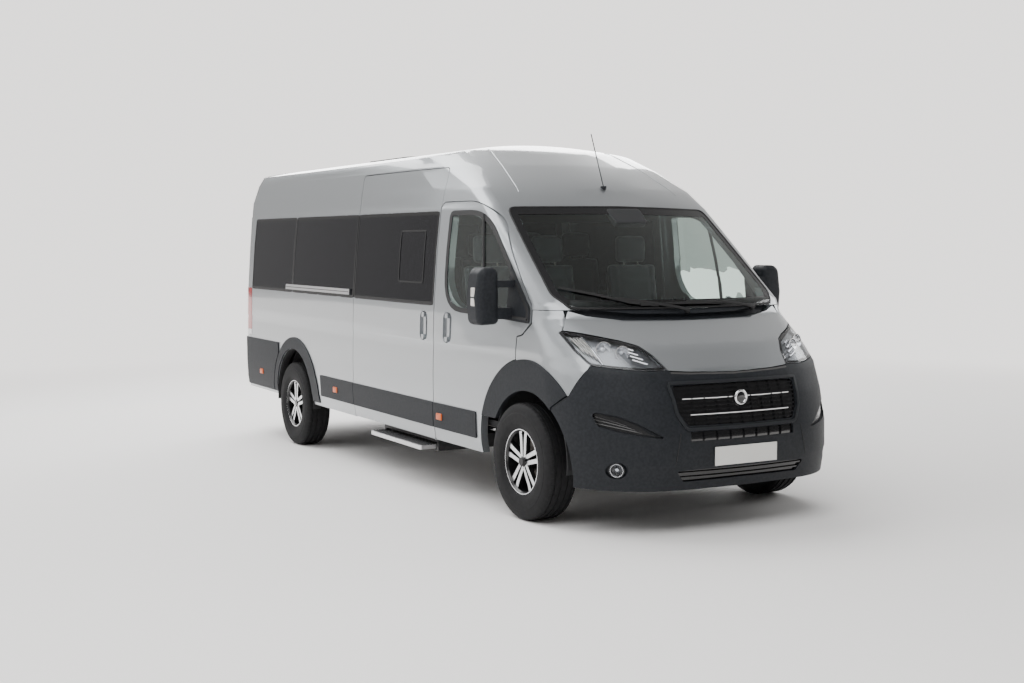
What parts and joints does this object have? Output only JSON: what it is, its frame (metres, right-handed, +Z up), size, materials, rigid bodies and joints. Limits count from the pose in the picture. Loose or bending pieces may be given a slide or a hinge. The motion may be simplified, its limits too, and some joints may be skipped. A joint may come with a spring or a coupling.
{
  "type": "minibus",
  "caption": "Long high-roof minibus with glazed sides, sliding side door, twin rear doors, steered front wheels, hinged cab doors and bonnet, and a sliding entry step",
  "frame": {"origin": "on the ground under the middle of the vehicle's box", "axes": "-Y is the front, +X the vehicle's left, +Z up"},
  "size_m": [2.444, 6.3656, 2.519],
  "materials": {
    "paint": "metallic",
    "dark_plastic": "grained",
    "black_gloss": "gloss",
    "tinted_glass": "tinted",
    "clear_glass": "clear",
    "lamp_lens": "clear",
    "red_lens": "gloss",
    "tyre": "matt",
    "alloy": "machined",
    "steel": "painted",
    "engine_metal": "rough",
    "exhaust_steel": "dull",
    "floor_cover": "ribbed",
    "seat_fabric": "woven",
    "cabin_plastic": "grained",
    "step_aluminium": "anodised",
    "plate_white": "satin"
  },
  "bodies": {
    "body": {"side_right": "paint", "side_left": "paint", "roof": "paint", "windscreen": "clear_glass", "cowl": "dark_plastic", "front_wings": "paint", "front_bumper": "dark_plastic", "grille": "black_gloss", "headlamps": "lamp_lens", "sliding_door": "paint", "sliding_door_glass": "tinted_glass", "side_glass": "tinted_glass", "rear_bumper": "dark_plastic", "tail_lamps": "red_lens", "side_cladding": "dark_plastic", "front_flares": "dark_plastic", "front_axle": "steel", "engine": "engine_metal", "rear_axle": "steel", "fuel_tank": "cabin_plastic", "exhaust": "exhaust_steel", "front_seats": "seat_fabric", "passenger_seats": "seat_fabric", "seat_frames": "steel", "dashboard": "cabin_plastic", "steering_wheel": "cabin_plastic", "step_housing": "steel", "arch_liners": "cabin_plastic", "rear_arch_boxes": "steel", "roof_fittings": "dark_plastic", "slider_rail": "step_aluminium", "number_plate": "plate_white", "floor": "floor_cover", "firewall": "steel", "underframe": "steel"},
    "wheel_front_right": {"tyre_front_right": "tyre", "rim_front_right": "alloy"},
    "wheel_front_left": {"tyre_front_left": "tyre", "rim_front_left": "alloy"},
    "wheel_rear_right": {"tyre_rear_right": "tyre", "rim_rear_right": "alloy"},
    "wheel_rear_left": {"tyre_rear_left": "tyre", "rim_rear_left": "alloy"},
    "steering_knuckle_right": {"knuckle_right": "steel"},
    "steering_knuckle_left": {"knuckle_left": "steel"},
    "door_front_right": {"front_door_right": "paint", "front_door_glass_right": "clear_glass", "front_door_strip_right": "dark_plastic", "mirror_right": "dark_plastic"},
    "door_front_left": {"front_door_left": "paint", "front_door_glass_left": "clear_glass", "front_door_strip_left": "dark_plastic", "mirror_left": "dark_plastic"},
    "door_rear_right": {"rear_door_right": "paint", "rear_door_glass_right": "tinted_glass"},
    "door_rear_left": {"rear_door_left": "paint", "rear_door_glass_left": "tinted_glass"},
    "bonnet_lid": {"bonnet": "paint"},
    "entry_step": {"side_step": "step_aluminium"}
  },
  "joints": [
    {"name": "steer_right", "type": "hinge", "parent": "body", "child": "steering_knuckle_right", "pos_m": [-0.8, -2.2335, 0.365], "axis": [0, 0, 1], "range_deg": [-35, 35]},
    {"name": "steer_left", "type": "hinge", "parent": "body", "child": "steering_knuckle_left", "pos_m": [0.8, -2.2335, 0.365], "axis": [0, 0, 1], "range_deg": [-35, 35]},
    {"name": "spin_front_right", "type": "hinge", "parent": "steering_knuckle_right", "child": "wheel_front_right", "pos_m": [-0.905, -2.2335, 0.365], "axis": [1, 0, 0], "continuous": true},
    {"name": "spin_front_left", "type": "hinge", "parent": "steering_knuckle_left", "child": "wheel_front_left", "pos_m": [0.905, -2.2335, 0.365], "axis": [1, 0, 0], "continuous": true},
    {"name": "spin_rear_right", "type": "hinge", "parent": "body", "child": "wheel_rear_right", "pos_m": [-0.895, 1.8015, 0.365], "axis": [1, 0, 0], "continuous": true},
    {"name": "spin_rear_left", "type": "hinge", "parent": "body", "child": "wheel_rear_left", "pos_m": [0.895, 1.8015, 0.365], "axis": [1, 0, 0], "continuous": true},
    {"name": "front_door_right_hinge", "type": "hinge", "parent": "body", "child": "door_front_right", "pos_m": [-0.966, -2.29202, 0.99912], "axis": [0, -0.0166, 0.9999], "range_deg": [0, 70]},
    {"name": "front_door_left_hinge", "type": "hinge", "parent": "body", "child": "door_front_left", "pos_m": [0.966, -2.29202, 0.99912], "axis": [0, 0.0166, -0.9999], "range_deg": [0, 70]},
    {"name": "rear_door_right_hinge", "type": "hinge", "parent": "body", "child": "door_rear_right", "pos_m": [-0.887, 3.16491, 1.28963], "axis": [0, -0.0166, 0.9999], "range_deg": [0, 180]},
    {"name": "rear_door_left_hinge", "type": "hinge", "parent": "body", "child": "door_rear_left", "pos_m": [0.887, 3.16491, 1.28963], "axis": [0, 0.0166, -0.9999], "range_deg": [0, 180]},
    {"name": "bonnet_hinge", "type": "hinge", "parent": "body", "child": "bonnet_lid", "pos_m": [0, -2.46214, 1.30634], "axis": [-1, 0, 0], "range_deg": [0, 50]},
    {"name": "step_slide", "type": "slide", "parent": "body", "child": "entry_step", "axis": [1, 0, 0], "range_m": [0, 0.22]}
  ],
  "couplings": [
    {"joint": "steer_left", "follows": "steer_right", "ratio": 1}
  ]
}
